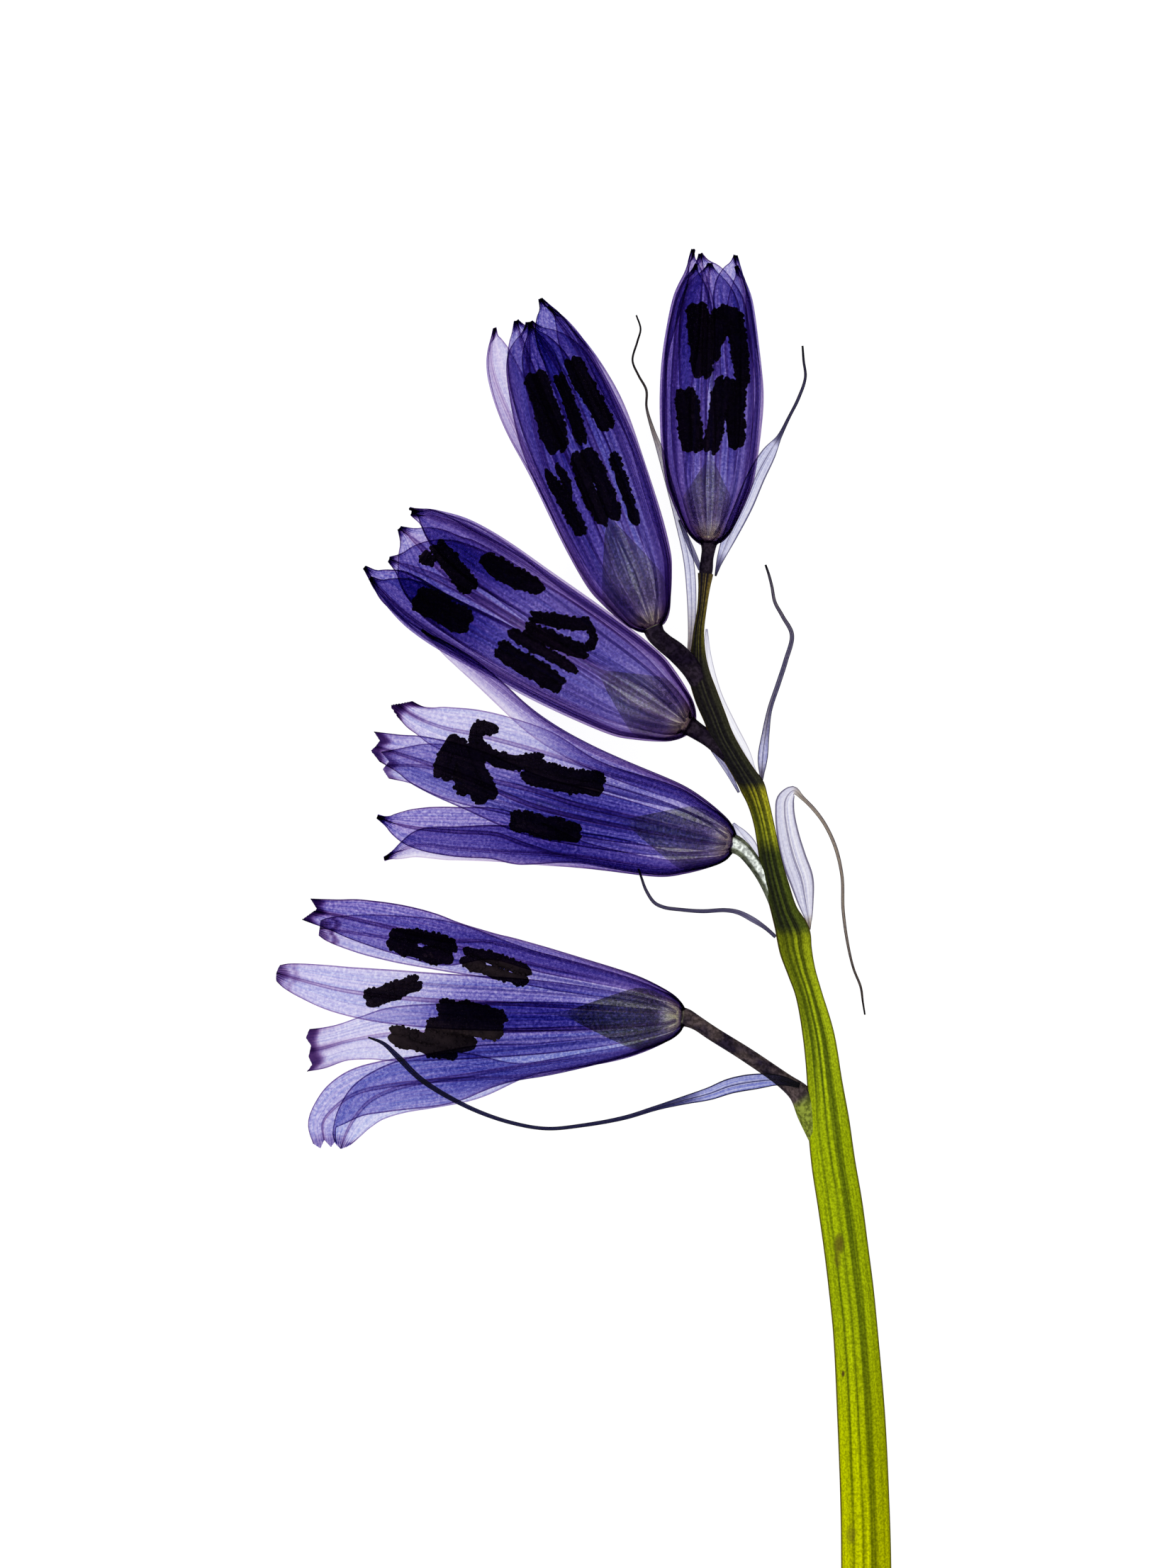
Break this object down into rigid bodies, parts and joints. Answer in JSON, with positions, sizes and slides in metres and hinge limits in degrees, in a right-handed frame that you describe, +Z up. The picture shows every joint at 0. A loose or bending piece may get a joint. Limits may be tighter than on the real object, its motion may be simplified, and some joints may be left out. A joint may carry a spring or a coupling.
{
  "type": "cut english bluebell stem",
  "caption": "Cut bluebell stem lying on its side: a curved green stem with narrow violet bell flowers, dark anthers and thread-ended bracts.",
  "frame": {"origin": "middle of the box's underside, on the surface the stem lies on", "axes": "+Y up the stem from its cut end to the top flower, -X the side the open flowers point to, +Z up from the surface"},
  "size_m": [0.0289, 0.0831, 0.0076],
  "materials": {
    "stem": "satin plant skin with lengthwise stripes",
    "stalk": "satin plant skin",
    "tepal": "thin translucent petal with lengthwise veins",
    "stamen": "matt, grainy",
    "pistil": "satin",
    "bract": "thin translucent membrane"
  },
  "bodies": {
    "root": {"stem": "stem", "flower1_stalk": "stalk", "flower1_outer_tepal_1": "tepal", "flower1_outer_tepal_2": "tepal", "flower1_outer_tepal_3": "tepal", "flower1_inner_tepal_1": "tepal", "flower1_inner_tepal_2": "tepal", "flower1_inner_tepal_3": "tepal", "flower1_stamens": "stamen", "flower1_pistil": "pistil", "flower2_stalk": "stalk", "flower2_outer_tepal_1": "tepal", "flower2_outer_tepal_2": "tepal", "flower2_outer_tepal_3": "tepal", "flower2_inner_tepal_1": "tepal", "flower2_inner_tepal_2": "tepal", "flower2_inner_tepal_3": "tepal", "flower2_stamens": "stamen", "flower2_pistil": "pistil", "flower3_stalk": "stalk", "flower3_outer_tepal_1": "tepal", "flower3_outer_tepal_2": "tepal", "flower3_outer_tepal_3": "tepal", "flower3_inner_tepal_1": "tepal", "flower3_inner_tepal_2": "tepal", "flower3_inner_tepal_3": "tepal", "flower3_stamens": "stamen", "flower3_pistil": "pistil", "flower4_stalk": "stalk", "flower4_outer_tepal_1": "tepal", "flower4_outer_tepal_2": "tepal", "flower4_outer_tepal_3": "tepal", "flower4_inner_tepal_1": "tepal", "flower4_inner_tepal_2": "tepal", "flower4_inner_tepal_3": "tepal", "flower4_stamens": "stamen", "flower4_pistil": "pistil", "flower5_stalk": "stalk", "flower5_outer_tepal_1": "tepal", "flower5_outer_tepal_2": "tepal", "flower5_outer_tepal_3": "tepal", "flower5_inner_tepal_1": "tepal", "flower5_inner_tepal_2": "tepal", "flower5_inner_tepal_3": "tepal", "flower5_stamens": "stamen", "flower5_pistil": "pistil", "flower1_bract": "bract", "flower1_bracteole": "bract", "flower2_bract": "bract", "flower2_bracteole": "bract", "flower3_bract": "bract", "flower3_bracteole": "bract", "flower4_bract": "bract", "flower4_bracteole": "bract", "flower4_membrane": "bract", "flower5_bract": "bract"}
  },
  "joints": []
}
